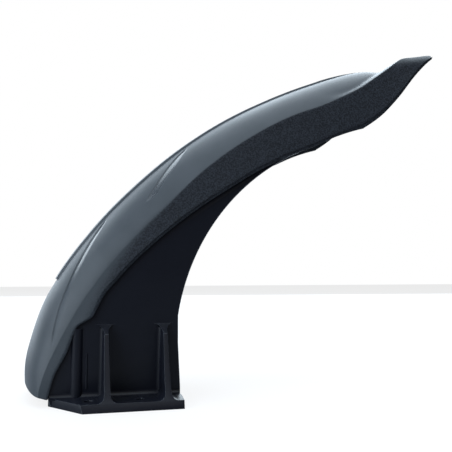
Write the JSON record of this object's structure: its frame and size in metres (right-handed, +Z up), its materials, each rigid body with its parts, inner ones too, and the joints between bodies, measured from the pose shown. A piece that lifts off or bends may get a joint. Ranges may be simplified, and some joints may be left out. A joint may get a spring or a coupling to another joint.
{
  "type": "electric scooter front mudguard",
  "caption": "Moulded plastic front mudguard: a crowned guard with a flicked front lip, side walls over the wheel, and a gusseted flange that bolts down.",
  "frame": {"origin": "middle of the base's underside, on the centre plane", "axes": "+X points forward to the guard's flicked tip, +Z up away from the mounting face, Y across the wheel; the centre plane is Y = 0"},
  "size_m": [0.2781, 0.128, 0.2369],
  "materials": {
    "mudguard": "satin crown, finely grained flanks, smooth side walls"
  },
  "bodies": {
    "root": {"mudguard": "mudguard"}
  },
  "joints": []
}
